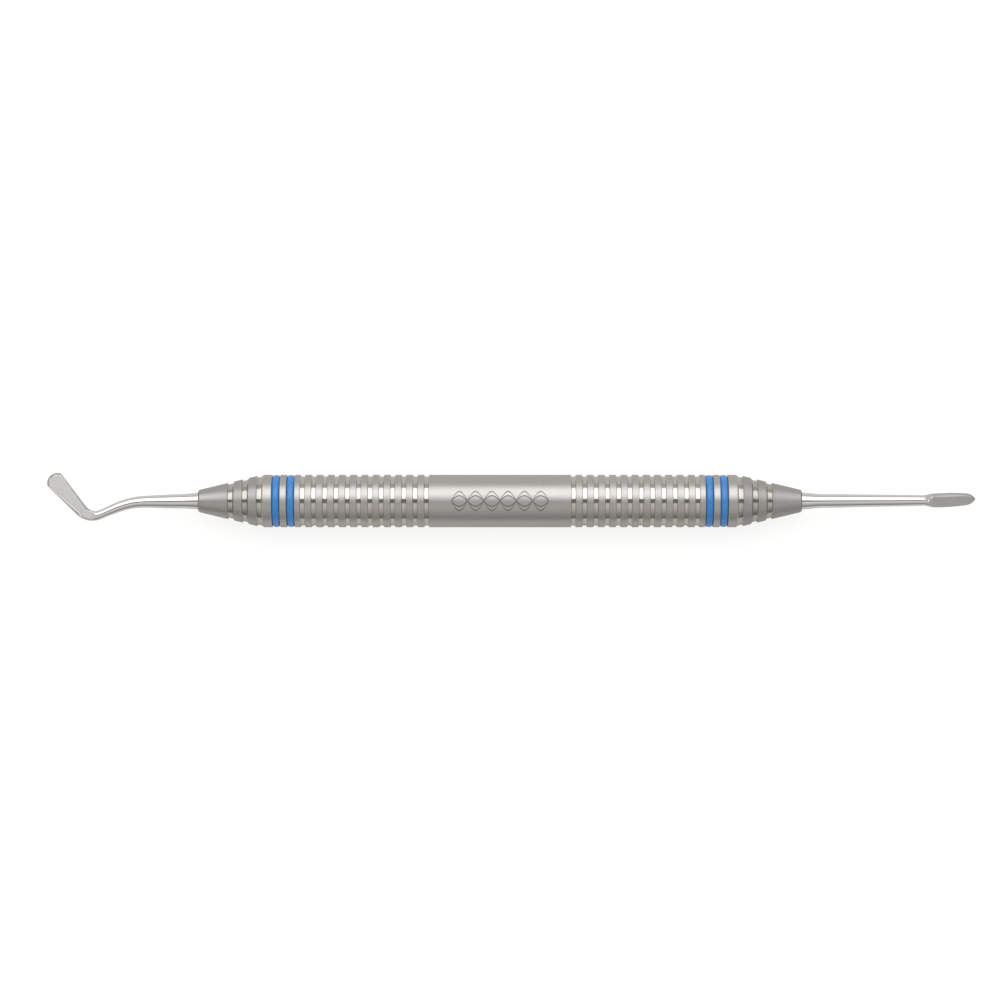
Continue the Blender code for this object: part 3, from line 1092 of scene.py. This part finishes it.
# %% Table and grey card
TABLE_SIZE = 4.0
CARD_LIFT = 0.02 * MM


def flat_sheet(name, height, finish):
    """A wide sheet of the stage at a height."""
    bpy.ops.object.select_all(action="DESELECT")
    bpy.ops.mesh.primitive_plane_add(size=TABLE_SIZE, location=(0, 0, height))
    sheet = bpy.context.object
    sheet.name = name
    sheet.data.materials.append(finish.material)
    sheet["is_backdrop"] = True
    return sheet


lit_paper = Finish(
    "lit_paper",
    Base_Color=rgb(0.28, 0.28, 0.28),
    Roughness=0.8,
    Emission_Color=rgb(1, 1, 1),
    Emission_Strength=0.78,
)
grey_paper = Finish("grey_paper", Base_Color=rgb(0.78, 0.775, 0.76), Roughness=0.9)
flat_sheet("pale_table", AXIS_Z - RADIUS - CARD_LIFT, lit_paper)
card = flat_sheet("grey_card", AXIS_Z - RADIUS, grey_paper)
card.visible_camera = card.visible_diffuse = card.visible_transmission = card.visible_shadow = False
print("table", TABLE_SIZE, "m")

# %% [markdown]
# ## Soft box
# Polished steel shows what surrounds it. One long soft box above the far side gives the bright band along
# the handle, and its grid makes it fade towards the ends, as on the cones. A sun lamp would give a hard
# thin line instead. The power is worked out from the brightness that the band should have.

# %% Soft box with a grid
BOX_DISTANCE = 0.75
BOX_ANGLE = math.radians(37)
BOX_SIDE = -0.06
BOX_LENGTH, BOX_WIDTH = 1.12, 0.76
BOX_SPREAD = math.radians(110)
BOX_RADIANCE = 2.05
half = BOX_SPREAD / 2
kept_by_grid = math.sin(half) ** 2 - (half - math.sin(BOX_SPREAD) / 2) / math.tan(half)
bpy.ops.object.light_add(
    type="AREA",
    location=(BOX_SIDE, BOX_DISTANCE * math.sin(BOX_ANGLE), AXIS_Z + BOX_DISTANCE * math.cos(BOX_ANGLE)),
)
soft_box = bpy.context.object
soft_box.name = "soft_box"
soft_box.rotation_euler = (-BOX_ANGLE, 0, 0)
soft_box.data.shape = "RECTANGLE"
soft_box.data.size, soft_box.data.size_y = BOX_LENGTH, BOX_WIDTH
soft_box.data.spread = BOX_SPREAD
soft_box.data.energy = BOX_RADIANCE * BOX_LENGTH * BOX_WIDTH * math.pi * kept_by_grid
soft_box.data.color = (1.0, 0.995, 0.99)
soft_box.visible_camera = False
print("soft box", round(soft_box.data.energy, 2), "W, grid keeps", round(kept_by_grid, 2))

# %% [markdown]
# ## Studio
# The rest of the reflections come from the room: a dim warm studio with a darker strip overhead, where
# the camera's boom would hang, and pale walls beyond both ends of the instrument. A picture of a real
# studio would do as a sky too, but a few ramps can be set for this one object.

# %% Studio around it
# Angles are in degrees from straight up, and negative towards the near wall.
NEAR_WALL = (-95.0, -12.0)
NEAR_LOW, NEAR_HIGH = rgb(0.20, 0.195, 0.19), rgb(0.86, 0.835, 0.80)
BOOM_HALF, BOOM_BLEND = 10.0, 1.0
BOOM = rgb(0.22, 0.215, 0.21)
FAR_WALL = rgb(0.62, 0.61, 0.59)
END_WALLS = (0.5, 0.75)
PALE_WALL = rgb(0.84, 0.83, 0.80)

world = bpy.data.worlds.new("studio")
bpy.context.scene.world = world
world.use_nodes = True
room = Wiring(world.node_tree)
direction = room.node("ShaderNodeTexCoord", {}, {}, "Generated")
lengthways, sideways, upwards = room.split(direction)
lean = sideways.math("ARCTAN2", upwards) * (180 / math.pi)
near_wall = room.mix(lean.ramp(*NEAR_WALL), NEAR_LOW, NEAR_HIGH)
overhead = room.mix(lean.ramp(-BOOM_HALF - BOOM_BLEND, -BOOM_HALF + BOOM_BLEND), near_wall, BOOM)
sky = room.mix(lean.ramp(BOOM_HALF - BOOM_BLEND, BOOM_HALF + BOOM_BLEND), overhead, FAR_WALL)
sky = room.mix(abs(lengthways).ramp(*END_WALLS), sky, PALE_WALL)
room.tree.links.new(sky.socket, room.tree.nodes["Background"].inputs["Color"])
print("studio", len(world.node_tree.nodes), "nodes")

# %% [markdown]
# ## Camera
# The camera looks straight down from a little over half a metre, as on a copy stand. From there the ends
# of the handle are seen almost square on. An orthographic camera would flatten the grooves.

# %% Camera
FRAME_WIDTH = 181.4 * MM
CAMERA_DISTANCE = 0.663
SENSOR = 36.0
CAMERA_SIDE = 0.18 * MM
bpy.ops.object.camera_add(location=(0, CAMERA_SIDE, AXIS_Z + CAMERA_DISTANCE), rotation=(0, 0, 0))
camera = bpy.context.object
camera.data.sensor_width = SENSOR
camera.data.lens = SENSOR * CAMERA_DISTANCE / FRAME_WIDTH
bpy.context.scene.camera = camera
bpy.context.scene.view_settings.view_transform = "Standard"
print("lens", round(camera.data.lens), "mm")

# %% [markdown]
# ## Sizes
# The finished pieces have to fill the same box as the design. Both boxes are printed.

# %% Sizes
new_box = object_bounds()
for label, box in (("design", cad_box), ("finished", new_box)):
    print(label, [[round(c / MM, 2) for c in corner] for corner in box])
